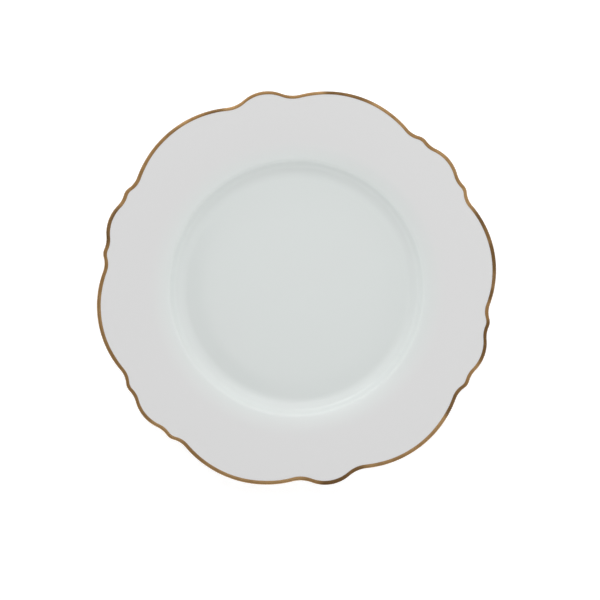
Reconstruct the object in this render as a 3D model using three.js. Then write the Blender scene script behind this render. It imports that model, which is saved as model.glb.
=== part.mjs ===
// A porcelain dinner plate with a scalloped edge and a fired gold line, as the layers it is made of:
// the biscuit body with its foot ring, three coats of glaze, and the gilding round the lip.
// Millimetres, +Z up, with the origin at the middle of the ring that the plate stands on.
//
// The body is one section turned about the plate's axis. Each coat follows a stretch of the same section
// at its own depth, and every layer is then drawn out to the same scalloped edge.
import * as THREE from "three";

// ---- Overall sizes ----
const edgeRadius = 135; // mean radius of the scalloped edge, coats included
const edgeHeight = 20.1; // top of the biscuit's lip, where the edge has its mean radius

// ---- Coats ----
const glazeThickness = 0.25;
const goldThickness = 0.1;
const goldWidthOnFace = 2.35; // in from the edge, seen from above
const goldWidthUnderneath = 1.8;

// ---- Face: the well, its wall and the rim ----
const vergeRadius = 87.6; // where the lines of the wall and the rim meet, before rounding
const vergeHeight = 13.7;
const vergeRound = 4;
const wallRun = 5.7; // across the wall, from the verge in to the corner of the well
const wellCornerRadius = vergeRadius - wallRun; // before rounding
const wellCornerRound = 11;
const trackWidth = 15.9; // the floor falls a little over this width, down to the corner of the well
const trackFall = 1.5;
const floorRadius = wellCornerRadius - trackWidth; // the middle of the well is flat out to here
const floorHeight = 6.6;
const innerRimWidth = 9.8; // from the verge out, the rim is steeper over this width
const innerRimRise = 2.45;
const rimBendRadius = vergeRadius + innerRimWidth; // outside the bend the rim is one plain cone
const rimBendHeight = vergeHeight + innerRimRise;

// ---- Thickness and underside ----
const floorThickness = 3.9;
const wallThickness = 3.6; // square to the wall
const rimThickness = 3.4; // straight down, at the verge
const lipThickness = 2.3; // straight down, at the edge
const underVergeRound = 9;
const roundOfLip = 0.45 * lipThickness; // nearly a full round

// ---- Foot ring ----
const footOffset = 0.4; // the middle of the ring stands this far outside the corner of the well
const footRadius = wellCornerRadius + footOffset;
const footWidth = 4.2; // at the standing face, before its edges are rounded
const footFlare = 0.35; // each side leans out by this much for each millimetre of height
const footBaseRound = 0.8;
const footRootRound = 1.1;
const glazeLineHeight = 1.2; // the ring is wiped clean of glaze below this height

// ---- Scalloped edge: a quarter of it, as discs from the X axis round to the Y axis ----
// swell is how far a lobe reaches past the mean radius, and round is the radius of the lobe itself.
const smallLobeAngle = 30;
const toothSpread = 9.3; // degrees between a small lobe and the tooth on either side of it
const tooth = { swell: -0.8, round: 8.15 };
const quarterLobes = [
  { angle: 0, swell: 2.4, round: 68 },
  { angle: smallLobeAngle - toothSpread, ...tooth },
  { angle: smallLobeAngle, swell: 1.5, round: 27 },
  { angle: smallLobeAngle + toothSpread, ...tooth },
  { angle: 61.5, swell: 2.6, round: 73 },
  { angle: 90, swell: 1.15, round: 25.6 },
];
const toothNotchRound = 16;
const smallLobeNotchRound = 17.7;
const tongueNotchRound = 22.3;
const quarterNotchRounds = [
  toothNotchRound,
  smallLobeNotchRound,
  smallLobeNotchRound,
  toothNotchRound,
  tongueNotchRound,
];

// ---- Fineness: how far a facet may stray from its true curve ----
const edgeDeviation = 0.5;
const sectionDeviation = 0.24;

/** How many facets stand for an arc of this radius and sweep. */
function facetCount(radius, sweep, deviation) {
  const widest = 2 * Math.acos(Math.max(0, 1 - deviation / radius));
  return Math.max(1, Math.ceil(Math.abs(sweep) / widest));
}

/** The point where the line through a and b meets the line through c and d. */
function meet(a, b, c, d) {
  const along = b.clone().sub(a);
  const across = d.clone().sub(c);
  const share = c.clone().sub(a).cross(across) / along.cross(across);
  return a.clone().addScaledVector(along, share);
}

/** The height at a radius on the line through two points of the section. */
function heightOnLine(a, b, radius) {
  return a.y + ((b.y - a.y) * (radius - a.x)) / (b.x - a.x);
}

/** A corner of the section: a rounding turns it into an arc, and a mark lets a coat start or end there. */
function corner(point, round = 0, mark = "") {
  return { point, round, mark };
}

/** The biscuit's section, from the axis underneath, out round the lip and back over the face to the axis. */
function sectionCorners() {
  const at = (radius, height) => new THREE.Vector2(radius, height);
  const biscuitEdge = edgeRadius - glazeThickness - goldThickness;
  const goldEdgeOnFace = edgeRadius - goldWidthOnFace;
  const goldEdgeUnderneath = edgeRadius - goldWidthUnderneath;

  const wellCorner = at(wellCornerRadius, floorHeight - trackFall);
  const verge = at(vergeRadius, vergeHeight);
  const rimBend = at(rimBendRadius, rimBendHeight);
  const lipTop = at(biscuitEdge, edgeHeight);
  const lipUnder = at(biscuitEdge, edgeHeight - lipThickness);
  const underRim = at(vergeRadius, vergeHeight - rimThickness);

  const wallNormal = verge.clone().sub(wellCorner).normalize().rotateAround(at(0, 0), -Math.PI / 2);
  const outerWallLow = wellCorner.clone().addScaledVector(wallNormal, wallThickness);
  const outerWallHigh = verge.clone().addScaledVector(wallNormal, wallThickness);
  const underVerge = meet(outerWallLow, outerWallHigh, underRim, lipUnder);

  const recessHeight = floorHeight - floorThickness;
  const footInside = (height) => at(footRadius - footWidth / 2 - footFlare * height, height);
  const footOutside = (height) => at(footRadius + footWidth / 2 + footFlare * height, height);
  const footOuterRoot = meet(footOutside(0), footOutside(recessHeight), outerWallLow, outerWallHigh);

  return [
    corner(at(0, recessHeight), 0, "axis underneath"),
    corner(footInside(recessHeight), footRootRound),
    corner(footInside(glazeLineHeight), 0, "glaze line inside the foot"),
    corner(footInside(0), footBaseRound),
    corner(footOutside(0), footBaseRound),
    corner(footOutside(glazeLineHeight), 0, "glaze line outside the foot"),
    corner(footOuterRoot, footRootRound),
    corner(underVerge, underVergeRound),
    corner(
      at(goldEdgeUnderneath, heightOnLine(underRim, lipUnder, goldEdgeUnderneath)),
      0,
      "gold edge underneath",
    ),
    corner(lipUnder, roundOfLip),
    corner(lipTop, roundOfLip, "lip"),
    corner(at(goldEdgeOnFace, heightOnLine(rimBend, lipTop, goldEdgeOnFace)), 0, "gold edge on the face"),
    corner(rimBend),
    corner(verge, vergeRound),
    corner(wellCorner, wellCornerRound),
    corner(at(floorRadius, floorHeight)),
    corner(at(0, floorHeight), 0, "axis of the face"),
  ];
}

/** The stations along one rounded corner, each with its outward normal. */
function roundedCorner(before, { point, round, mark }, after) {
  const arriving = point.clone().sub(before).normalize();
  const leaving = after.clone().sub(point).normalize();
  const outward = (direction) => new THREE.Vector2(direction.y, -direction.x);
  if (round === 0) {
    return [{ point, normal: outward(arriving.add(leaving).normalize()), mark }];
  }
  const turn = Math.atan2(arriving.cross(leaving), arriving.dot(leaving));
  const side = Math.sign(turn);
  const reach = round * Math.tan(Math.abs(turn) / 2);
  const start = point.clone().addScaledVector(arriving, -reach);
  const centre = start.clone().addScaledVector(outward(arriving), -side * round);
  const facets = facetCount(round, turn, sectionDeviation);
  return Array.from({ length: facets + 1 }, (_, step) => {
    const stepTurn = (turn * step) / facets;
    const normal = outward(arriving).rotateAround(new THREE.Vector2(), stepTurn);
    return { point: centre.clone().addScaledVector(normal, side * round), normal, mark: step ? "" : mark };
  });
}

/** Every station of the section. The two on the axis face straight down and straight up. */
function sectionStations() {
  const corners = sectionCorners();
  const last = corners.length - 1;
  const inner = corners
    .slice(1, last)
    .flatMap((here, index) => roundedCorner(corners[index].point, here, corners[index + 2].point));
  return [
    { ...corners[0], normal: new THREE.Vector2(0, -1) },
    ...inner,
    { ...corners[last], normal: new THREE.Vector2(0, 1) },
  ];
}

/** The centre of a notch: a circle that touches two lobes from outside the plate. */
function notchCentre(lobe, next, round) {
  const toNext = next.centre.clone().sub(lobe.centre);
  const apart = toNext.length();
  const reach = lobe.round + round;
  const nextReach = next.round + round;
  const along = (apart ** 2 + reach ** 2 - nextReach ** 2) / (2 * apart);
  const out = Math.sqrt(reach ** 2 - along ** 2);
  const direction = toNext.normalize();
  const outward = new THREE.Vector2(direction.y, -direction.x);
  return lobe.centre.clone().addScaledVector(direction, along).addScaledVector(outward, out);
}

/** A quarter of the edge as arcs, each tangent to the next: lobe, notch, lobe and so on. */
function quarterEdge() {
  const lobes = quarterLobes.map(({ angle, swell, round }) => {
    const bearing = THREE.MathUtils.degToRad(angle);
    const distance = edgeRadius + swell - round;
    const centre = new THREE.Vector2(distance * Math.cos(bearing), distance * Math.sin(bearing));
    return { centre, round, bearing };
  });
  const notches = quarterNotchRounds.map((round, index) => {
    return { centre: notchCentre(lobes[index], lobes[index + 1], round), round };
  });
  const bearing = (from, to) => to.centre.clone().sub(from.centre).angle();
  const arc = ({ centre, round }, start, end, clockwise) => {
    return new THREE.EllipseCurve(centre.x, centre.y, round, round, start, end, clockwise);
  };
  return lobes.flatMap((lobe, index) => {
    const before = notches[index - 1];
    const after = notches[index];
    const start = before ? bearing(lobe, before) : lobe.bearing;
    const end = after ? bearing(lobe, after) : lobe.bearing;
    const lobeArc = arc(lobe, start, end, false);
    if (!after) {
      return [lobeArc];
    }
    return [lobeArc, arc(after, bearing(after, lobe), bearing(after, lobes[index + 1]), true)];
  });
}

/** The whole scalloped edge as points: the quarter, and its mirror images about both axes. */
function edgePoints() {
  const quarter = quarterEdge().flatMap((arc) => {
    const sweep = arc.getLength() / arc.xRadius;
    return arc.getPoints(facetCount(arc.xRadius, sweep, edgeDeviation)).slice(0, -1);
  });
  const tongueTip = new THREE.Vector2(0, edgeRadius + quarterLobes.at(-1).swell);
  const back = [...quarter.slice(1), tongueTip].reverse();
  const mirrored = (points, x, y) => points.map((point) => new THREE.Vector2(x * point.x, y * point.y));
  return [
    ...quarter,
    ...mirrored(back, -1, 1),
    ...mirrored(quarter, -1, -1),
    ...mirrored(back, 1, -1),
  ];
}

const stations = sectionStations();
const edge = edgePoints();
const lipStation = stations.find(({ mark }) => mark === "lip");
const straightRimSlope = (edgeHeight - rimBendHeight) / (lipStation.point.x - rimBendRadius);

/** The section's points from one mark to another, at a depth above the biscuit. */
function skin(firstMark, lastMark, depth) {
  const first = stations.findIndex(({ mark }) => mark === firstMark);
  const last = stations.findIndex(({ mark }) => mark === lastMark);
  return stations
    .slice(first, last + 1)
    .map(({ point, normal }) => point.clone().addScaledVector(normal, depth));
}

/**
 * The closed section that runs out along one skin and back along another. Layers that touch run the same
 * way along the skin they share, so that their facets there are split along the same diagonals.
 */
function outAndBack(out, back) {
  const returning = [...back].reverse();
  if (out.at(-1).x === 0) {
    return [...returning, ...out];
  }
  return out[0].x === 0 ? [...out, ...returning] : [...out, ...returning, out[0].clone()];
}

/**
 * Turns a section about the plate's axis and draws it out to the scalloped edge. What lies outside the
 * rim's bend slides along the slope of the rim, so the rim stays one plain cone.
 */
function turned(section) {
  const geometry = new THREE.LatheGeometry(section, edge.length);
  const position = geometry.getAttribute("position");
  for (let vertex = 0; vertex < position.count; vertex += 1) {
    const { x: radius, y: height } = section[vertex % section.length];
    const towards = edge[Math.floor(vertex / section.length) % edge.length];
    const slide = radius > rimBendRadius ? towards.length() - edgeRadius : 0;
    const { x, y } = towards.clone().setLength(radius + slide);
    position.setXYZ(vertex, x, y, height + slide * straightRimSlope);
  }
  if (THREE.ShapeUtils.isClockWise(section)) {
    const index = geometry.getIndex();
    for (let first = 0; first < index.count; first += 3) {
      const second = index.getX(first + 1);
      index.setX(first + 1, index.getX(first + 2));
      index.setX(first + 2, second);
    }
  }
  geometry.computeVertexNormals();
  return geometry;
}

/** A glaze coat between two marks: out along the biscuit and back along its own surface. */
function glazeCoat(firstMark, lastMark) {
  const onBiscuit = skin(firstMark, lastMark, 0);
  return turned(outAndBack(onBiscuit, skin(firstMark, lastMark, glazeThickness)));
}

/** The gold line wraps the lip: out along its own surface and back along the glaze. */
function goldLine() {
  const marks = ["gold edge underneath", "gold edge on the face"];
  return turned(outAndBack(skin(...marks, glazeThickness + goldThickness), skin(...marks, glazeThickness)));
}

const biscuit = { color: 0xece7dc, roughness: 0.8, metalness: 0 };
const clearGlaze = { color: 0xeff2f0, roughness: 0.12, metalness: 0 };
const firedGold = { color: 0xb08548, roughness: 0.3, metalness: 1 };

/** A named piece in its own material. */
function piece(name, geometry, finish) {
  const mesh = new THREE.Mesh(geometry, new THREE.MeshStandardMaterial(finish));
  mesh.name = name;
  return mesh;
}

const plate = new THREE.Group();
plate.name = "dinner_plate";
plate.add(
  piece("porcelain_body", turned(skin("axis underneath", "axis of the face", 0)), biscuit),
  piece("face_glaze", glazeCoat("lip", "axis of the face"), clearGlaze),
  piece("underside_glaze", glazeCoat("glaze line outside the foot", "lip"), clearGlaze),
  piece("foot_well_glaze", glazeCoat("axis underneath", "glaze line inside the foot"), clearGlaze),
  piece("gold_edge_line", goldLine(), firedGold),
);

export default plate;
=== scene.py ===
"""A porcelain dinner plate with a scalloped edge and a fired gold line, dressed and lit in a studio."""

import logging
import math
from dataclasses import dataclass
from enum import Enum

import bpy
from mathutils import Matrix, Vector


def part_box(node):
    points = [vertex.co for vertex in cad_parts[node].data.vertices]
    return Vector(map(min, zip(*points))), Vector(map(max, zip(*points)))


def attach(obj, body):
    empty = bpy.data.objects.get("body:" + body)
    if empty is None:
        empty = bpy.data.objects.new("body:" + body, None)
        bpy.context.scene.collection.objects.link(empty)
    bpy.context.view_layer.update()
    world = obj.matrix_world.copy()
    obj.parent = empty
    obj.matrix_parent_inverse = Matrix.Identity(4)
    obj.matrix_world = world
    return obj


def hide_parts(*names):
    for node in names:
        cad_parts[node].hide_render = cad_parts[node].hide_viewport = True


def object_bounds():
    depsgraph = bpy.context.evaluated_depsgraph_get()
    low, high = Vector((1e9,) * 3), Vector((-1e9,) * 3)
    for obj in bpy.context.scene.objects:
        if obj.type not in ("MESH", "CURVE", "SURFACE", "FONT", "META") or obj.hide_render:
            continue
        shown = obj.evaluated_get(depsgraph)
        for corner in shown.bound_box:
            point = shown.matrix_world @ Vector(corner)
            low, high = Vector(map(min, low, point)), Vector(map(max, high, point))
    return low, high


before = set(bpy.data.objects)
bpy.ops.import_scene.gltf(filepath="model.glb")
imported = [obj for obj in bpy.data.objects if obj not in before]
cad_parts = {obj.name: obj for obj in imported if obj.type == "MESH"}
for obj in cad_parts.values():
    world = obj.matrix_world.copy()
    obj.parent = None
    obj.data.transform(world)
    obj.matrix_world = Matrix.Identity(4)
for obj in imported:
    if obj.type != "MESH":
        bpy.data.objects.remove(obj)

CAD_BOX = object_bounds()
LOG = logging.getLogger("dinner_plate")

MM = 0.001
BODY = "root"
Colour = tuple[float, float, float]


class Mark(Enum):
    """Places on the plate's section where a coat starts or ends."""

    AXIS_UNDERNEATH = "axis underneath"
    GLAZE_LINE_INSIDE = "glaze line inside the foot"
    GLAZE_LINE_OUTSIDE = "glaze line outside the foot"
    GOLD_EDGE_UNDERNEATH = "gold edge underneath"
    LIP = "lip"
    GOLD_EDGE_ON_FACE = "gold edge on the face"
    AXIS_OF_FACE = "axis of the face"


@dataclass(frozen=True)
class Corner:
    """One corner of the section, before its rounding.

    Args:
        point: radius and height, in metres.
        rounding: radius of the arc that replaces the corner, or 0 for a plain corner.
        mark: the place that this corner stands for, if any.
    """

    point: Vector
    rounding: float = 0.0
    mark: Mark | None = None


def side_of(direction: Vector) -> Vector:
    """Return the outward normal of a stretch of the section that runs along a direction."""
    return Vector((direction.y, -direction.x))


def meet(a: Vector, b: Vector, c: Vector, d: Vector) -> Vector:
    """Find where two lines of the section cross.

    Args:
        a: one end of a stretch of the first line.
        b: its other end.
        c: one end of a stretch of the second line.
        d: its other end.

    Returns:
        The point where they cross.
    """
    along = b - a
    across = d - c
    share = (c - a).cross(across) / along.cross(across)
    return a + along * share


@dataclass(frozen=True)
class PlateSection:
    """The plate's section, from the axis underneath, round the lip and back over the face.

    All sizes are in metres. The edge's radius and the gold line's widths are those of the finished plate. The
    others are those of the fired biscuit, and the coats lie at a depth above it.
    """

    edge_radius: float
    edge_height: float = 20.05 * MM
    verge_radius: float = 87.6 * MM
    verge_height: float = 13.7 * MM
    verge_round: float = 4 * MM
    wall_run: float = 5.7 * MM
    well_corner_round: float = 11 * MM
    track_width: float = 15.9 * MM
    track_fall: float = 1.5 * MM
    floor_height: float = 6.6 * MM
    floor_round: float = 95 * MM
    inner_rim_width: float = 9.8 * MM
    inner_rim_rise: float = 2.45 * MM
    rim_bend_round: float = 35 * MM
    floor_thickness: float = 3.9 * MM
    wall_thickness: float = 3.6 * MM
    rim_thickness: float = 3.4 * MM
    lip_thickness: float = 2.3 * MM
    lip_round_share: float = 0.45
    under_verge_round: float = 9 * MM
    foot_offset: float = 0.4 * MM
    foot_width: float = 4.2 * MM
    foot_flare: float = 0.35
    foot_base_round: float = 0.8 * MM
    foot_root_round: float = 1.6 * MM
    glaze_line_height: float = 1.2 * MM
    glaze: float = 0.25 * MM
    gold: float = 0.1 * MM
    gold_width_on_face: float = 2.35 * MM
    gold_width_underneath: float = 1.8 * MM

    @property
    def biscuit_edge(self) -> float:
        """Return the mean radius of the biscuit's edge, under its coats."""
        return self.edge_radius - self.glaze - self.gold

    @property
    def well_corner(self) -> Vector:
        """Return the corner between the floor of the well and its wall."""
        return Vector((self.verge_radius - self.wall_run, self.floor_height - self.track_fall))

    @property
    def rim_bend(self) -> Vector:
        """Return the place where the rim turns from steeper to straight."""
        rise = Vector((self.inner_rim_width, self.inner_rim_rise))
        return Vector((self.verge_radius, self.verge_height)) + rise

    @property
    def lip_top(self) -> Vector:
        """Return the upper corner of the lip."""
        return Vector((self.biscuit_edge, self.edge_height))

    @property
    def lip_under(self) -> Vector:
        """Return the lower corner of the lip."""
        return self.lip_top - Vector((0.0, self.lip_thickness))

    @property
    def under_rim(self) -> Vector:
        """Return the point under the verge where the underside of the rim starts."""
        return Vector((self.verge_radius, self.verge_height - self.rim_thickness))

    @property
    def lip_round(self) -> float:
        """Return the rounding of the lip's two corners."""
        return self.lip_round_share * self.lip_thickness

    @property
    def lip_middle(self) -> float:
        """Work out the middle of the lip's short upright stretch, between its two rounded corners.

        Returns:
            Its height in metres.
        """
        under = self.lip_under - self.under_rim
        face = self.lip_top - self.rim_bend
        low_turn = math.pi / 2 - math.atan2(under.y, under.x)
        high_turn = math.pi / 2 + math.atan2(face.y, face.x)
        low = self.lip_under.y + self.lip_round * math.tan(low_turn / 2)
        high = self.lip_top.y - self.lip_round * math.tan(high_turn / 2)
        return (low + high) / 2

    @property
    def rim_slope(self) -> float:
        """Return how much the straight rim rises for each metre outwards."""
        run = self.lip_top - self.rim_bend
        return run.y / run.x

    def foot_corners(self, outer_wall: tuple[Vector, Vector]) -> list[Corner]:
        """List the corners of the recess and the foot ring.

        Args:
            outer_wall: two points on the line of the outer wall, which the foot ring runs into.

        Returns:
            The corners from the axis underneath to the root of the foot ring's outside.
        """
        middle = self.well_corner.x + self.foot_offset
        half = self.foot_width / 2
        recess = self.floor_height - self.floor_thickness

        def side(way: int, height: float) -> Vector:
            """Return a point on the inner (-1) or outer (1) side of the foot ring."""
            return Vector((middle + way * (half + self.foot_flare * height), height))

        outer_root = meet(side(1, 0.0), side(1, recess), *outer_wall)
        return [
            Corner(Vector((0.0, recess)), mark=Mark.AXIS_UNDERNEATH),
            Corner(side(-1, recess), self.foot_root_round),
            Corner(side(-1, self.glaze_line_height), mark=Mark.GLAZE_LINE_INSIDE),
            Corner(side(-1, 0.0), self.foot_base_round),
            Corner(side(1, 0.0), self.foot_base_round),
            Corner(side(1, self.glaze_line_height), mark=Mark.GLAZE_LINE_OUTSIDE),
            Corner(outer_root, self.foot_root_round),
        ]

    def corners(self) -> list[Corner]:
        """List the whole section's corners.

        Returns:
            The corners from the axis underneath to the axis of the face.
        """
        verge = Vector((self.verge_radius, self.verge_height))
        wall_side = side_of((verge - self.well_corner).normalized()) * self.wall_thickness
        outer_wall = (self.well_corner + wall_side, verge + wall_side)
        lip_under = self.lip_under
        under_slope = (lip_under - self.under_rim).normalized()
        face_slope = (self.lip_top - self.rim_bend).normalized()
        coats = self.glaze + self.gold
        gold_underneath = under_slope * ((self.gold_width_underneath - coats) / under_slope.x)
        gold_on_face = face_slope * ((self.gold_width_on_face - coats) / face_slope.x)
        floor_edge = Vector((self.well_corner.x - self.track_width, self.floor_height))
        return [
            *self.foot_corners(outer_wall),
            Corner(meet(*outer_wall, self.under_rim, lip_under), self.under_verge_round),
            Corner(lip_under - gold_underneath, mark=Mark.GOLD_EDGE_UNDERNEATH),
            Corner(lip_under, self.lip_round),
            Corner(Vector((self.biscuit_edge, self.lip_middle)), mark=Mark.LIP),
            Corner(self.lip_top, self.lip_round),
            Corner(self.lip_top - gold_on_face, mark=Mark.GOLD_EDGE_ON_FACE),
            Corner(self.rim_bend, self.rim_bend_round),
            Corner(verge, self.verge_round),
            Corner(self.well_corner, self.well_corner_round),
            Corner(floor_edge, self.floor_round),
            Corner(Vector((0.0, self.floor_height)), mark=Mark.AXIS_OF_FACE),
        ]

    def stretch(self, first: Mark, last: Mark, depth: float) -> list[Corner]:
        """Take the section between two marks, moved out to a coat's surface.

        Args:
            first: the mark where the stretch starts.
            last: the mark where it ends.
            depth: how far above the biscuit the stretch lies, in metres.

        Returns:
            The corners of the stretch. Its two ends have no rounding.
        """
        corners = self.corners()
        moved = []
        for index, corner in enumerate(corners):
            before = corners[max(index - 1, 0)].point
            after = corners[min(index + 1, len(corners) - 1)].point
            arriving = (corner.point - before if index else after - corner.point).normalized()
            leaving = (after - corner.point).normalized() if after != corner.point else arriving
            normals = side_of(arriving), side_of(leaving)
            shift = (normals[0] + normals[1]) * (depth / (1 + normals[0].dot(normals[1])))
            bulge = math.copysign(depth, arriving.cross(leaving))
            rounding = corner.rounding + bulge if corner.rounding else 0.0
            moved.append(Corner(corner.point + shift, rounding, corner.mark))
        marks = [corner.mark for corner in moved]
        return moved[marks.index(first):marks.index(last) + 1]


@dataclass(frozen=True)
class Arc:
    """One arc of the scalloped edge, up to a bearing.

    Args:
        centre: the arc's centre, in metres from the plate's axis.
        radius: its radius, in metres.
        hollow: True for a notch, whose centre lies outside the plate.
        until: the bearing where the arc ends, in radians.
    """

    centre: Vector
    radius: float
    hollow: bool
    until: float

    def reach(self, bearing: float) -> float:
        """Find where a ray from the axis meets the arc.

        Args:
            bearing: the ray's bearing, in radians.

        Returns:
            The distance from the axis, in metres.
        """
        ray = Vector((math.cos(bearing), math.sin(bearing)))
        half = math.sqrt(max(self.radius**2 - ray.cross(self.centre) ** 2, 0.0))
        return ray.dot(self.centre) + (-half if self.hollow else half)


@dataclass(frozen=True)
class Lobe:
    """A lobe of the edge: its bearing in degrees, and its swell and rounding in metres."""

    bearing: float
    swell: float
    rounding: float


@dataclass(frozen=True)
class ScallopedEdge:
    """The plate's outline: lobes and notches whose arcs touch, mirrored about both axes."""

    mean_radius: float
    small_lobe_bearing: float = 30.0
    tooth_spread: float = 9.3
    main_lobe: Lobe = Lobe(0.0, 2.4 * MM, 68 * MM)
    small_lobe_swell: float = 1.5 * MM
    small_lobe_round: float = 27 * MM
    tooth_swell: float = -0.8 * MM
    tooth_round: float = 8.15 * MM
    side_lobe: Lobe = Lobe(61.5, 2.6 * MM, 73 * MM)
    tongue: Lobe = Lobe(90.0, 1.15 * MM, 25.6 * MM)
    tooth_notch_round: float = 16 * MM
    small_lobe_notch_round: float = 17.7 * MM
    tongue_notch_round: float = 22.3 * MM

    def quarter_lobes(self) -> list[Lobe]:
        """List one quarter's lobes.

        Returns:
            The lobes from the X axis round to the Y axis.
        """
        middle = self.small_lobe_bearing
        near = Lobe(middle - self.tooth_spread, self.tooth_swell, self.tooth_round)
        far = Lobe(middle + self.tooth_spread, self.tooth_swell, self.tooth_round)
        small = Lobe(middle, self.small_lobe_swell, self.small_lobe_round)
        return [self.main_lobe, near, small, far, self.side_lobe, self.tongue]

    def quarter(self) -> list[Arc]:
        """Work out one quarter's arcs, each touching the next.

        Returns:
            The arcs in turn: lobe, notch, lobe and so on.
        """
        notch_rounds = [
            self.tooth_notch_round,
            self.small_lobe_notch_round,
            self.small_lobe_notch_round,
            self.tooth_notch_round,
            self.tongue_notch_round,
        ]
        discs = []
        for lobe in self.quarter_lobes():
            bearing = math.radians(lobe.bearing)
            distance = self.mean_radius + lobe.swell - lobe.rounding
            centre = Vector((math.cos(bearing), math.sin(bearing))) * distance
            discs.append((centre, lobe.rounding))
        arcs = []
        for (centre, rounding), (following, next_rounding), notch in zip(discs, discs[1:], notch_rounds):
            towards = following - centre
            apart = towards.length
            reach = rounding + notch
            along = (apart**2 + reach**2 - (next_rounding + notch) ** 2) / (2 * apart)
            towards.normalize()
            hollow = centre + towards * along + side_of(towards) * math.sqrt(reach**2 - along**2)
            touch = centre.lerp(hollow, rounding / reach)
            next_touch = following.lerp(hollow, next_rounding / (next_rounding + notch))
            arcs.append(Arc(centre, rounding, False, math.atan2(touch.y, touch.x)))
            arcs.append(Arc(hollow, notch, True, math.atan2(next_touch.y, next_touch.x)))
        arcs.append(Arc(*discs[-1], False, math.pi))
        return arcs

    def swells(self, bearings: int) -> list[float]:
        """Measure how far the edge stands out from its mean radius, seen from the axis.

        Args:
            bearings: how many evenly spaced bearings to measure, from the X axis on.

        Returns:
            The swell in metres at each bearing, negative in a notch.
        """
        arcs = self.quarter()
        swells = []
        for index in range(bearings):
            turn = 2 * math.pi * index / bearings
            folded = math.atan2(abs(math.sin(turn)), abs(math.cos(turn)))
            arc = next(arc for arc in arcs if folded <= arc.until)
            swells.append(arc.reach(folded) - self.mean_radius)
        return swells


@dataclass(frozen=True)
class HandLine:
    """How a hand-held brush lets the gold line swell and narrow: waves round the plate.

    Args:
        spread: how far the line's inner edge spreads past its drawn width on the whole, in metres.
        waves: each wave's count round the plate, its size in metres and its phase in degrees.
    """

    spread: float = 0.25 * MM
    waves: tuple[tuple[int, float, float], ...] = (
        (1, 0.13 * MM, -116.0),
        (2, 0.08 * MM, -38.0),
        (3, 0.12 * MM, 75.0),
        (8, 0.05 * MM, -12.0),
        (19, 0.04 * MM, 40.0),
        (31, 0.03 * MM, 155.0),
    )

    def extra_width(self, bearing: float) -> float:
        """Work out how far the line spreads past its drawn width.

        Args:
            bearing: the bearing round the plate, in radians.

        Returns:
            The spread in metres.
        """
        return self.spread + sum(
            size * math.cos(count * bearing - math.radians(phase)) for count, size, phase in self.waves
        )


def apply_modifier(piece: bpy.types.Object, kind: str, settings: dict[str, object]) -> None:
    """Add a modifier to a piece and apply it.

    Args:
        piece: the piece to change.
        kind: the modifier's type, such as SCREW.
        settings: the modifier's properties and their values.
    """
    bpy.ops.object.select_all(action="DESELECT")
    piece.select_set(True)
    bpy.context.view_layer.objects.active = piece
    modifier = piece.modifiers.new(kind.lower(), kind)
    for name, value in settings.items():
        setattr(modifier, name, value)
    bpy.ops.object.modifier_apply(modifier=modifier.name)


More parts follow.
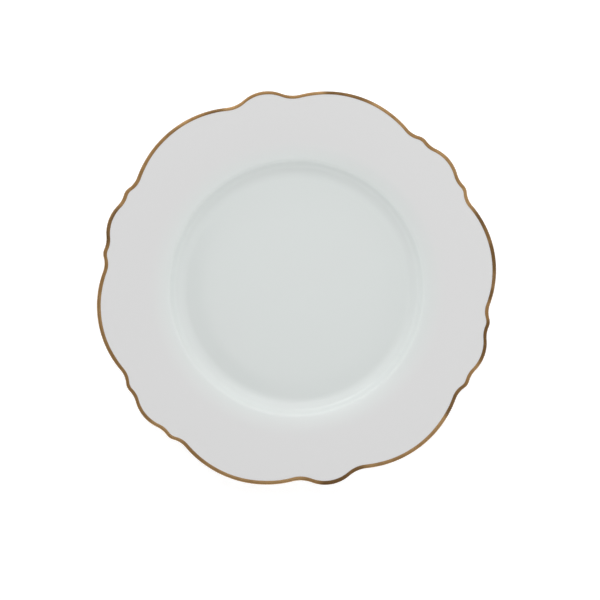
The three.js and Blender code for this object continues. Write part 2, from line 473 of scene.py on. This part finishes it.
class SectionPen:
    """Draws a section as a wire in edit mode, and turns it about the plate's axis."""

    step_turn: float = math.radians(5)
    meridians: int = 720
    weld: float = 0.001 * MM

    def __init__(self, name: str, start: Vector) -> None:
        """Put the pen down.

        Args:
            name: the name of the piece to draw.
            start: the radius and height of the first point, in metres.
        """
        bpy.ops.object.select_all(action="DESELECT")
        bpy.ops.mesh.primitive_plane_add(size=MM, location=(0, 0, 0), enter_editmode=True)
        self.piece = bpy.context.object
        self.piece.name = name
        self.piece.data.name = name
        bpy.ops.mesh.merge(type="CENTER")
        bpy.ops.transform.translate(value=(start.x, 0, start.y))
        self.place = start.copy()

    def line_to(self, point: Vector) -> None:
        """Draw a straight stretch to a point.

        Args:
            point: its radius and height, in metres.
        """
        step = point - self.place
        bpy.ops.mesh.extrude_region_move(TRANSFORM_OT_translate={"value": (step.x, 0, step.y)})
        self.place = point.copy()

    def arc_round(self, corner: Corner, after: Vector) -> None:
        """Draw up to a corner and round it with an arc.

        Args:
            corner: the corner and its rounding.
            after: the next corner's point.
        """
        arriving = (corner.point - self.place).normalized()
        leaving = (after - corner.point).normalized()
        turn = math.atan2(arriving.cross(leaving), arriving.dot(leaving))
        reach = corner.rounding * math.tan(abs(turn) / 2)
        self.line_to(corner.point - arriving * reach)
        centre = self.place - side_of(arriving) * math.copysign(corner.rounding, turn)
        bpy.ops.mesh.spin(
            steps=max(2, math.ceil(abs(turn) / self.step_turn)),
            angle=abs(turn),
            center=(centre.x, 0, centre.y),
            axis=(0, math.copysign(1, turn), 0),
        )
        self.place = corner.point + leaving * reach

    def draw(self, corners: list[Corner]) -> None:
        """Draw a stretch of the section.

        Args:
            corners: the stretch's corners, of which the first is where the pen stands.
        """
        for corner, following in zip(corners[1:], corners[2:]):
            if corner.rounding:
                self.arc_round(corner, following.point)
            else:
                self.line_to(corner.point)
        self.line_to(corners[-1].point)

    @classmethod
    def meridian(cls, x: float, y: float) -> int:
        """Return the number of the meridian that a place on the plate lies on, counted from the X axis."""
        return round(math.atan2(y, x) * cls.meridians / (2 * math.pi)) % cls.meridians

    def turn(self, outward: Vector) -> bpy.types.Object:
        """Turn the drawn section about the plate's axis into a closed surface.

        Args:
            outward: the outward normal of the surface where it starts, as radius and height.

        Returns:
            The piece, in object mode, with its faces pointing outwards.
        """
        bpy.ops.object.mode_set(mode="OBJECT")
        steps = {"steps": self.meridians, "render_steps": self.meridians}
        apply_modifier(self.piece, "SCREW", {"axis": "Z", "angle": 2 * math.pi, **steps})
        bpy.ops.object.mode_set(mode="EDIT")
        bpy.ops.mesh.select_all(action="SELECT")
        bpy.ops.mesh.remove_doubles(threshold=self.weld)
        bpy.ops.mesh.delete_loose()
        bpy.ops.mesh.select_all(action="SELECT")
        bpy.ops.mesh.normals_make_consistent(inside=False)
        bpy.ops.object.mode_set(mode="OBJECT")
        first = self.piece.data.polygons[0]
        across = first.center.xy.normalized() * outward.x
        if first.normal.dot(Vector((across.x, across.y, outward.y))) < 0:
            bpy.ops.object.mode_set(mode="EDIT")
            bpy.ops.mesh.flip_normals()
            bpy.ops.object.mode_set(mode="OBJECT")
        return self.piece


@dataclass(frozen=True)
class PlateShape:
    """The section and the outline together: they shape every layer of the plate."""

    section: PlateSection
    edge: ScallopedEdge

    def layer(self, name: str, ends: tuple[Mark, Mark], depths: tuple[float, ...]) -> bpy.types.Object:
        """Turn a stretch of the section into a closed layer and draw it out to the scalloped edge.

        Args:
            name: the piece's name.
            ends: the marks where the stretch starts and ends.
            depths: how far above the biscuit the layer's outer and inner skins lie, in metres,
                or only the outer one for the solid body.

        Returns:
            The layer as one closed surface.
        """
        outer, *inner = (self.section.stretch(*ends, depth) for depth in depths)
        pen = SectionPen(name, outer[0].point)
        pen.draw(outer)
        for skin in inner:
            back = skin[::-1]
            pen.line_to(back[0].point)
            pen.draw(back)
            if back[-1].point.x > pen.weld:
                pen.line_to(outer[0].point)
        piece = pen.turn(side_of((outer[1].point - outer[0].point).normalized()))
        self.draw_out(piece)
        return piece

    def draw_out(self, piece: bpy.types.Object) -> None:
        """Slide what lies outside the rim's bend out to the lobes and in to the notches.

        Args:
            piece: the layer, turned round.
        """
        start = self.section.rim_bend.x
        full = self.section.edge_radius - self.section.gold_width_on_face
        swells = self.edge.swells(SectionPen.meridians)
        for vertex in piece.data.vertices:
            x, y, _ = vertex.co
            radius = math.hypot(x, y)
            if radius > start:
                share = min((radius - start) / (full - start), 1.0)
                slide = swells[SectionPen.meridian(x, y)] * share
                vertex.co.xy *= 1 + slide / radius
                vertex.co.z += slide * self.section.rim_slope
        piece.data.update()


def smooth(piece: bpy.types.Object, sharpest: float) -> None:
    """Shade a piece smooth, except across its sharp edges.

    Args:
        piece: the piece to shade.
        sharpest: the most that a smooth edge turns, in degrees.
    """
    bpy.ops.object.select_all(action="DESELECT")
    piece.select_set(True)
    bpy.context.view_layer.objects.active = piece
    bpy.ops.object.shade_smooth_by_angle(angle=math.radians(sharpest))


def enter_frame(piece: bpy.types.Object, node: str) -> None:
    """Make a piece ride on the plate and stand for its CAD node.

    Args:
        piece: the finished piece.
        node: the CAD node that it replaces.
    """
    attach(piece, BODY)
    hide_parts(node)


class Value:
    """A number in a node tree, which arithmetic turns into Math nodes."""

    def __init__(self, tree: bpy.types.NodeTree, socket: bpy.types.NodeSocket) -> None:
        """Wrap a socket.

        Args:
            tree: the node tree that the socket is in.
            socket: an output that carries a number.
        """
        self.tree = tree
        self.socket = socket

    def _math(self, operation: str, *operands: "Value | float") -> "Value":
        """Add a Math node.

        Args:
            operation: the node's operation.
            operands: its inputs in order, as values or plain numbers.

        Returns:
            The node's result.
        """
        node = self.tree.nodes.new("ShaderNodeMath")
        node.operation = operation
        for socket, operand in zip(node.inputs, operands):
            if isinstance(operand, Value):
                self.tree.links.new(operand.socket, socket)
            else:
                socket.default_value = operand
        return Value(self.tree, node.outputs[0])

    def __add__(self, other: "Value | float") -> "Value":
        """Add."""
        return self._math("ADD", self, other)

    __radd__ = __add__

    def __mul__(self, other: "Value | float") -> "Value":
        """Multiply."""
        return self._math("MULTIPLY", self, other)

    __rmul__ = __mul__

    def __pow__(self, power: float) -> "Value":
        """Raise to a power."""
        return self._math("POWER", self, power)


Input = Value | bpy.types.NodeSocket | float | tuple[float, ...]


class NodeTree:
    """A node tree, with the one way in which nodes are added to it."""

    def __init__(self, tree: bpy.types.NodeTree) -> None:
        """Start with an empty tree.

        Args:
            tree: the tree to fill.
        """
        self.tree = tree
        self.tree.nodes.clear()

    def node(self, kind: str, settings: dict[str, object], inputs: dict[str, Input]) -> bpy.types.Node:
        """Add a node.

        Args:
            kind: the node's type.
            settings: its properties, set before its sockets, with a ramp's stops under "stops".
            inputs: values or links for its sockets, by socket name.

        Returns:
            The node.
        """
        node = self.tree.nodes.new(kind)
        for name, value in settings.items():
            if name == "stops":
                self.set_stops(node.color_ramp.elements, value)
            else:
                setattr(node, name, value)
        for name, value in inputs.items():
            self.feed(node.inputs[name], value)
        return node

    def set_stops(self, elements: bpy.types.ColorRampElements, stops: list[tuple[float, Colour]]) -> None:
        """Give a new ramp its stops.

        Args:
            elements: the ramp's two stops, which become the first and the last.
            stops: the place and the colour of each stop, in order.
        """
        elements[0].position = stops[0][0]
        elements[1].position = stops[-1][0]
        for place, _ in stops[1:-1]:
            elements.new(place)
        for element, (_, colour) in zip(elements, stops):
            element.color = (*colour, 1.0)

    def feed(self, socket: bpy.types.NodeSocket, value: Input) -> None:
        """Set a socket to a constant, or link a value to it.

        Args:
            socket: the input to set.
            value: a number, a colour without its alpha, a value or another node's output.
        """
        if isinstance(value, Value):
            self.tree.links.new(value.socket, socket)
        elif isinstance(value, bpy.types.NodeSocket):
            self.tree.links.new(value, socket)
        elif isinstance(value, tuple):
            socket.default_value = (*value, 1.0)
        else:
            socket.default_value = value

    def value(self, node: bpy.types.Node, output: str) -> Value:
        """Return one of a node's outputs as a value for arithmetic."""
        return Value(self.tree, node.outputs[output])


@dataclass(frozen=True)
class Pattern:
    """A cloud pattern on a surface.

    Args:
        scale: how many clouds lie side by side in a metre.
        detail: how many finer layers it has.
        roughness: how strong each finer layer is.
    """

    scale: float
    detail: float
    roughness: float


@dataclass(frozen=True)
class Relief:
    """How far a pattern stands out of its surface.

    Args:
        depth: how high its ones stand above its zeros, in metres.
        strength: how much of it shows.
    """

    depth: float
    strength: float


class Shading(NodeTree):
    """The node tree of one finish."""

    def __init__(self, name: str) -> None:
        """Start a material.

        Args:
            name: the material's name.
        """
        self.material = bpy.data.materials.new(name)
        self.material.use_nodes = True
        super().__init__(self.material.node_tree)
        self.place = self.node("ShaderNodeTexCoord", {}, {}).outputs["Object"]

    def noise(self, pattern: Pattern) -> Value:
        """Add a cloud pattern.

        Args:
            pattern: its scale, detail and roughness.

        Returns:
            The pattern, from 0 to 1 and near 0.5 on the whole.
        """
        clouds = {"Scale": pattern.scale, "Detail": pattern.detail, "Roughness": pattern.roughness}
        return self.value(self.node("ShaderNodeTexNoise", {}, {"Vector": self.place, **clouds}), "Fac")

    def ramp(self, value: Value, low: float, high: float) -> Value:
        """Ease a value from one limit to another.

        Args:
            value: the value.
            low: where the result is 0.
            high: where the result is 1, above or below the low limit.

        Returns:
            The eased value, from 0 to 1.
        """
        settings = {"interpolation_type": "SMOOTHSTEP"}
        inputs = {"Value": value, "From Min": low, "From Max": high}
        return self.value(self.node("ShaderNodeMapRange", settings, inputs), "Result")

    def blend(self, share: Value, first: Input, second: Input) -> bpy.types.NodeSocket:
        """Mix two colours.

        Args:
            share: 0 for the first colour, 1 for the second.
            first: the first colour.
            second: the second colour.

        Returns:
            The mixed colour.
        """
        node = self.node("ShaderNodeMix", {"data_type": "RGBA"}, {})
        by_kind = {(socket.name, socket.type): socket for socket in node.inputs}
        self.feed(by_kind["Factor", "VALUE"], share)
        self.feed(by_kind["A", "RGBA"], first)
        self.feed(by_kind["B", "RGBA"], second)
        return next(socket for socket in node.outputs if socket.type == "RGBA")

    def relief(self, height: Value, relief: Relief) -> bpy.types.NodeSocket:
        """Make a relief from a height pattern.

        Args:
            height: the pattern, from 0 to 1.
            relief: its depth and strength.

        Returns:
            The normal to feed to a surface.
        """
        inputs = {"Height": height, "Distance": relief.depth, "Strength": relief.strength}
        return self.node("ShaderNodeBump", {}, inputs).outputs["Normal"]

    def axes(self) -> tuple[Value, Value, Value]:
        """Return the place on the plate as X, Y and Z values."""
        split = self.node("ShaderNodeSeparateXYZ", {}, {"Vector": self.place})
        return self.value(split, "X"), self.value(split, "Y"), self.value(split, "Z")

    def radius(self) -> Value:
        """Return the distance from the plate's axis."""
        x, y, _ = self.axes()
        return (x * x + y * y) ** 0.5

    def dress(self, piece: bpy.types.Object, surface: dict[str, Input]) -> None:
        """Give the material its surface, and the material to a piece.

        Args:
            piece: the piece to dress.
            surface: values or links for the Principled surface's sockets, by socket name.
        """
        principled = self.node("ShaderNodeBsdfPrincipled", {}, surface)
        self.node("ShaderNodeOutputMaterial", {}, {"Surface": principled.outputs["BSDF"]})
        piece.data.materials.clear()
        piece.data.materials.append(self.material)


@dataclass(frozen=True)
class GlazeFinish:
    """Clear glaze over white porcelain: neutral on the rim and faintly green where it lies thicker."""

    rim: Colour = (0.82, 0.82, 0.82)
    # The faint green where the glaze lies deeper, in the well.
    second_colour: Colour = (0.821, 0.862, 0.848)
    tint_limits: tuple[float, float] = (104 * MM, 84 * MM)
    clouds: Pattern = Pattern(14.0, 2.0, 0.5)
    cloud_reach: float = 0.35
    waver: Pattern = Pattern(26.0, 1.0, 0.4)
    waver_relief: Relief = Relief(0.25 * MM, 0.2)
    roughness: float = 0.1
    cloud_roughness: float = 0.04
    index: float = 1.5

    def dress(self, piece: bpy.types.Object, name: str) -> None:
        """Give a coat its glaze.

        Args:
            piece: the coat.
            name: the material's name.
        """
        shading = Shading(name)
        clouds = shading.noise(self.clouds)
        depth = shading.ramp(shading.radius(), *self.tint_limits)
        share = depth * (1 - self.cloud_reach) + depth * clouds * (2 * self.cloud_reach)
        surface = {
            "Base Color": shading.blend(share, self.rim, self.second_colour),
            "Roughness": self.roughness + clouds * self.cloud_roughness,
            "IOR": self.index,
            "Normal": shading.relief(shading.noise(self.waver), self.waver_relief),
        }
        shading.dress(piece, surface)


@dataclass(frozen=True)
class BiscuitFinish:
    """Bare fired porcelain: matt, a little grainy, and rubbed grey where it has stood on tables."""

    body: Colour = (0.74, 0.71, 0.65)
    rubbed: Colour = (0.42, 0.40, 0.37)
    rubbed_height: float = 0.25 * MM
    rubbed_share: float = 0.6
    patches: Pattern = Pattern(90.0, 4.0, 0.6)
    patch_limits: tuple[float, float] = (0.42, 0.62)
    grain: Pattern = Pattern(2600.0, 3.0, 0.7)
    grain_relief: Relief = Relief(0.05 * MM, 0.5)
    roughness: float = 0.7
    grain_roughness: float = 0.2

    def dress(self, piece: bpy.types.Object) -> None:
        """Give the body its bare surface.

        Args:
            piece: the body.
        """
        shading = Shading("bare_biscuit")
        _, _, height = shading.axes()
        grain = shading.noise(self.grain)
        patches = shading.ramp(shading.noise(self.patches), *self.patch_limits)
        rubbed = shading.ramp(height, self.rubbed_height, 0.0) * patches * self.rubbed_share
        surface = {
            "Base Color": shading.blend(rubbed, self.body, self.rubbed),
            "Roughness": self.roughness + grain * self.grain_roughness,
            "Normal": shading.relief(grain, self.grain_relief),
        }
        shading.dress(piece, surface)


@dataclass(frozen=True)
class GoldFinish:
    """Fired gold put on with a brush and unevenly spread, so uneven in polish, and partly in colour. Its
    brown colours are darker than gold's own, as a painted reflection of the dim room above it; its lighter
    and darker patches are partly the uneven brushwork and partly painted reflection, and its near-black
    patches are painted dark reflection.
    """

    # Both gold colours are darker than real gold, a painted reflection of the dim room above; the spread
    # between them is partly uneven brushwork, partly painted reflection.
    light_gold: Colour = (0.45, 0.28, 0.13)
    dark_gold: Colour = (0.29, 0.165, 0.065)
    # Near black: a painted dark reflection, set in patches over the line's gold.
    second_colour: Colour = (0.13, 0.07, 0.028)
    patches: Pattern = Pattern(38.0, 3.0, 0.6)
    patch_limits: tuple[float, float] = (0.38, 0.62)
    patch_share: float = 0.7
    strokes: Pattern = Pattern(420.0, 2.0, 0.6)
    stroke_share: float = 0.3
    stroke_relief: Relief = Relief(0.03 * MM, 0.35)
    # The patches where the painted dark reflection lies.
    dark_reflections: Pattern = Pattern(24.0, 2.0, 0.7)
    dark_reflection_limits: tuple[float, float] = (0.54, 0.68)
    dark_reflection_share: float = 0.8
    roughness: float = 0.22
    patch_roughness: float = 0.14
    stroke_roughness: float = 0.08

    def dress(self, piece: bpy.types.Object) -> None:
        """Give the line its gold.

        Args:
            piece: the gold line.
        """
        shading = Shading("fired_gold")
        patches = shading.ramp(shading.noise(self.patches), *self.patch_limits)
        strokes = shading.noise(self.strokes)
        # Painted dark reflection: near-black patches mixed into the gold.
        dark_reflections = shading.ramp(shading.noise(self.dark_reflections), *self.dark_reflection_limits)
        # The gold tone swings from lighter to darker gold: partly uneven brushwork, partly painted reflection
        # of the dim room.
        tone_share = patches * self.patch_share + strokes * self.stroke_share
        gold_tone = shading.blend(tone_share, self.light_gold, self.dark_gold)
        uneven = patches * self.patch_roughness + strokes * self.stroke_roughness
        surface = {
            "Base Color": shading.blend(dark_reflections * self.dark_reflection_share, gold_tone, self.second_colour),
            "Metallic": 1.0,
            "Roughness": self.roughness + uneven,
            "Normal": shading.relief(strokes, self.stroke_relief),
        }
        shading.dress(piece, surface)


@dataclass(frozen=True)
class TableFinish:
    """A matt white table top that shines a little by itself, as white does under strong light."""

    white: Colour = (0.9, 0.9, 0.9)
    shine: Colour = (1.0, 1.0, 1.0)
    shine_strength: float = 0.41
    roughness: float = 0.9

    def dress(self, table: bpy.types.Object) -> None:
        """Give the table its white.

        Args:
            table: the table top.
        """
        surface = {
            "Base Color": self.white,
            "Roughness": self.roughness,
            "Emission Color": self.shine,
            "Emission Strength": self.shine_strength,
        }
        Shading("white_table").dress(table, surface)


@dataclass(frozen=True)
class PorcelainBody:
    """The fired biscuit, with the foot ring that it stands on."""

    shape: PlateShape
    sharpest: float = 40.0
    finish: BiscuitFinish = BiscuitFinish()

    def build(self) -> bpy.types.Object:
        """Turn the whole section into one closed body and dress it.

        Returns:
            The body.
        """
        ends = Mark.AXIS_UNDERNEATH, Mark.AXIS_OF_FACE
        piece = self.shape.layer("porcelain_body_biscuit", ends, (0.0,))
        smooth(piece, self.sharpest)
        self.finish.dress(piece)
        enter_frame(piece, "porcelain_body")
        return piece


@dataclass(frozen=True)
class GlazeCoat:
    """One coat of glaze, over a stretch of the section.

    Args:
        shape: the plate's shape.
        node: the CAD node that the coat replaces.
        ends: the marks where it starts and ends.
        sharpest: the most that a smooth edge turns, in degrees.
        finish: its glaze.
    """

    shape: PlateShape
    node: str
    ends: tuple[Mark, Mark]
    sharpest: float = 40.0
    finish: GlazeFinish = GlazeFinish()

    def build(self) -> bpy.types.Object:
        """Shape the coat and dress it.

        Returns:
            The coat.
        """
        piece = self.shape.layer(f"{self.node}_coat", self.ends, (self.shape.section.glaze, 0.0))
        smooth(piece, self.sharpest)
        self.finish.dress(piece, f"{self.node}_gloss")
        enter_frame(piece, self.node)
        return piece


@dataclass(frozen=True)
class GoldLine:
    """The hand-painted gold line that wraps the lip."""

    shape: PlateShape
    sharpest: float = 50.0
    edge_reach: float = 0.1 * MM
    hand: HandLine = HandLine()
    finish: GoldFinish = GoldFinish()

    def build(self) -> bpy.types.Object:
        """Shape the line, let its inner edge waver, and dress it.

        Returns:
            The line.
        """
        section = self.shape.section
        ends = Mark.GOLD_EDGE_UNDERNEATH, Mark.GOLD_EDGE_ON_FACE
        depths = section.glaze + section.gold, section.glaze
        piece = self.shape.layer("gold_edge_brushwork", ends, depths)
        self.waver(piece)
        smooth(piece, self.sharpest)
        self.finish.dress(piece)
        enter_frame(piece, "gold_edge_line")
        return piece

    def waver(self, piece: bpy.types.Object) -> None:
        """Move the line's edge on the face in and out along the rim, as a brush does.

        Args:
            piece: the line, drawn out to the scalloped edge.
        """
        section = self.shape.section
        swells = self.shape.edge.swells(SectionPen.meridians)
        for vertex in piece.data.vertices:
            x, y, z = vertex.co
            radius = math.hypot(x, y)
            inset = section.edge_radius + swells[SectionPen.meridian(x, y)] - radius
            if z > section.lip_middle and inset > section.gold_width_on_face - self.edge_reach:
                wider = self.hand.extra_width(math.atan2(y, x))
                vertex.co.xy *= 1 - wider / radius
                vertex.co.z -= wider * section.rim_slope
        piece.data.update()


@dataclass(frozen=True)
class SoftBox:
    """A wide soft light that faces the plate.

    Args:
        name: the light's name.
        bearing: where it stands round the plate, in degrees from the right of the view.
        height: how high it stands, in degrees above the table.
        distance: how far from the plate, in metres.
        size: its width and height, in metres.
        radiance: its brightness, where 1 shows as white.
    """

    name: str
    bearing: float
    height: float
    distance: float
    size: tuple[float, float]
    radiance: float

    def build(self, view_turn: float) -> None:
        """Stand the light where it belongs.

        Args:
            view_turn: how far the view is turned against the plate, in degrees.
        """
        light = bpy.data.lights.new(self.name, "AREA")
        light.shape = "RECTANGLE"
        light.size, light.size_y = self.size
        light.energy = self.radiance * math.pi * light.size * light.size_y
        around = math.radians(self.bearing - view_turn)
        above = math.radians(self.height)
        level = Vector((math.cos(around), math.sin(around), 0)) * math.cos(above)
        towards = level + Vector((0, 0, math.sin(above)))
        holder = bpy.data.objects.new(self.name, light)
        facing = towards.to_track_quat("Z", "Y").to_matrix().to_4x4()
        holder.matrix_world = Matrix.Translation(towards * self.distance) @ facing
        bpy.context.scene.collection.objects.link(holder)


@dataclass(frozen=True)
class Room:
    """The white room round the table: bright low down, where its walls are lit, and dimmer overhead.

    Args:
        bands: pairs of the height of a direction, from 0 level to 1 straight up, and its brightness.
    """

    bands: tuple[tuple[float, float], ...] = ((0.0, 2.1), (0.12, 1.55), (0.35, 0.51), (1.0, 0.43))

    def build(self) -> None:
        """Make the world that lights the table."""
        world = bpy.data.worlds.new("soft_room")
        world.use_nodes = True
        bpy.context.scene.world = world
        tree = NodeTree(world.node_tree)
        direction = tree.node("ShaderNodeTexCoord", {}, {}).outputs["Generated"]
        height = tree.node("ShaderNodeSeparateXYZ", {}, {"Vector": direction}).outputs["Z"]
        stops = [(place, (brightness, brightness, brightness)) for place, brightness in self.bands]
        ramp = tree.node("ShaderNodeValToRGB", {"stops": stops}, {"Fac": height})
        light = tree.node("ShaderNodeBackground", {}, {"Color": ramp.outputs["Color"]})
        tree.node("ShaderNodeOutputWorld", {}, {"Surface": light.outputs["Background"]})


@dataclass(frozen=True)
class Studio:
    """A plain white table and plain soft light, with the camera straight over the plate.

    Args:
        top_of_plate: the plate's height, at which the view is as wide as view_width.
        view_width: the width of the view, in metres.
        lens: the camera's focal length, in millimetres.
        film: the width of its film, in millimetres.
        farthest: the farthest that the camera sees, in metres.
        view_turn: how far the plate is turned under the camera, in degrees.
        aside: how far the plate's axis is left of the middle of the view, in metres.
        below: how far it is above the middle of the view, in metres.
        table_size: the width of the table, in metres.
        table_cells: how many cells the table top has each way.
        table: the table's finish.
        lights: the soft boxes.
        room: the room round the table.
    """

    top_of_plate: float
    view_width: float = 409.1 * MM
    lens: float = 100.0
    film: float = 36.0
    farthest: float = 20.0
    view_turn: float = 10.1
    aside: float = 2.38 * MM
    below: float = 8.2 * MM
    table_size: float = 6.0
    table_cells: int = 4
    table: TableFinish = TableFinish()
    lights: tuple[SoftBox, ...] = (
        SoftBox("key_light", 107, 51, 1.0, (1.2, 0.7), 0.92),
        SoftBox("side_light", 20, 68, 0.8, (1.0, 1.0), 0.45),
        SoftBox("low_light", 110, 8, 1.2, (0.9, 0.25), 1.35),
    )
    room: Room = Room()

    def build_camera(self) -> None:
        """Hang the camera over the plate, with the plate a little turned under it."""
        camera = bpy.data.cameras.new("overhead_camera")
        camera.lens = self.lens
        camera.sensor_width = self.film
        camera.clip_end = self.farthest
        turn = Matrix.Rotation(-math.radians(self.view_turn), 4, "Z")
        distance = self.view_width * self.lens / self.film
        place = turn @ Vector((self.aside, -self.below, self.top_of_plate + distance))
        holder = bpy.data.objects.new("overhead_camera", camera)
        holder.matrix_world = Matrix.Translation(place) @ turn
        bpy.context.scene.collection.objects.link(holder)
        bpy.context.scene.camera = holder

    def build_table(self) -> None:
        """Lay the white table top."""
        bpy.ops.object.select_all(action="DESELECT")
        cells = {"x_subdivisions": self.table_cells, "y_subdivisions": self.table_cells}
        bpy.ops.mesh.primitive_grid_add(size=self.table_size, **cells)
        table = bpy.context.object
        table.name = "table_top"
        self.table.dress(table)

    def build(self) -> None:
        """Set up the table, the lights and the camera, with plain display colours."""
        bpy.context.scene.view_settings.view_transform = "Standard"
        self.build_camera()
        self.build_table()
        for light in self.lights:
            light.build(self.view_turn)
        self.room.build()


def plate_shape() -> PlateShape:
    """Size the plate from the CAD's gold line: the main lobes reach as far as it does on X.

    Returns:
        The plate's section and outline.
    """
    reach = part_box("gold_edge_line")[1][0]
    mean = reach - ScallopedEdge.main_lobe.swell
    return PlateShape(PlateSection(mean), ScallopedEdge(mean))


def main() -> None:
    """Build the plate layer by layer, then the studio."""
    logging.basicConfig(level=logging.INFO, format="%(message)s")
    shape = plate_shape()
    layers = [
        PorcelainBody(shape),
        GlazeCoat(shape, "face_glaze", (Mark.LIP, Mark.AXIS_OF_FACE)),
        GlazeCoat(shape, "underside_glaze", (Mark.GLAZE_LINE_OUTSIDE, Mark.LIP)),
        GlazeCoat(shape, "foot_well_glaze", (Mark.AXIS_UNDERNEATH, Mark.GLAZE_LINE_INSIDE)),
        GoldLine(shape),
    ]
    for layer in layers:
        piece = layer.build()
        LOG.info("%s: %d faces, %s", piece.name, len(piece.data.polygons), piece.data.materials[0].name)
    Studio(top_of_plate=float(CAD_BOX[1][2])).build()


if __name__ == "__main__":
    main()
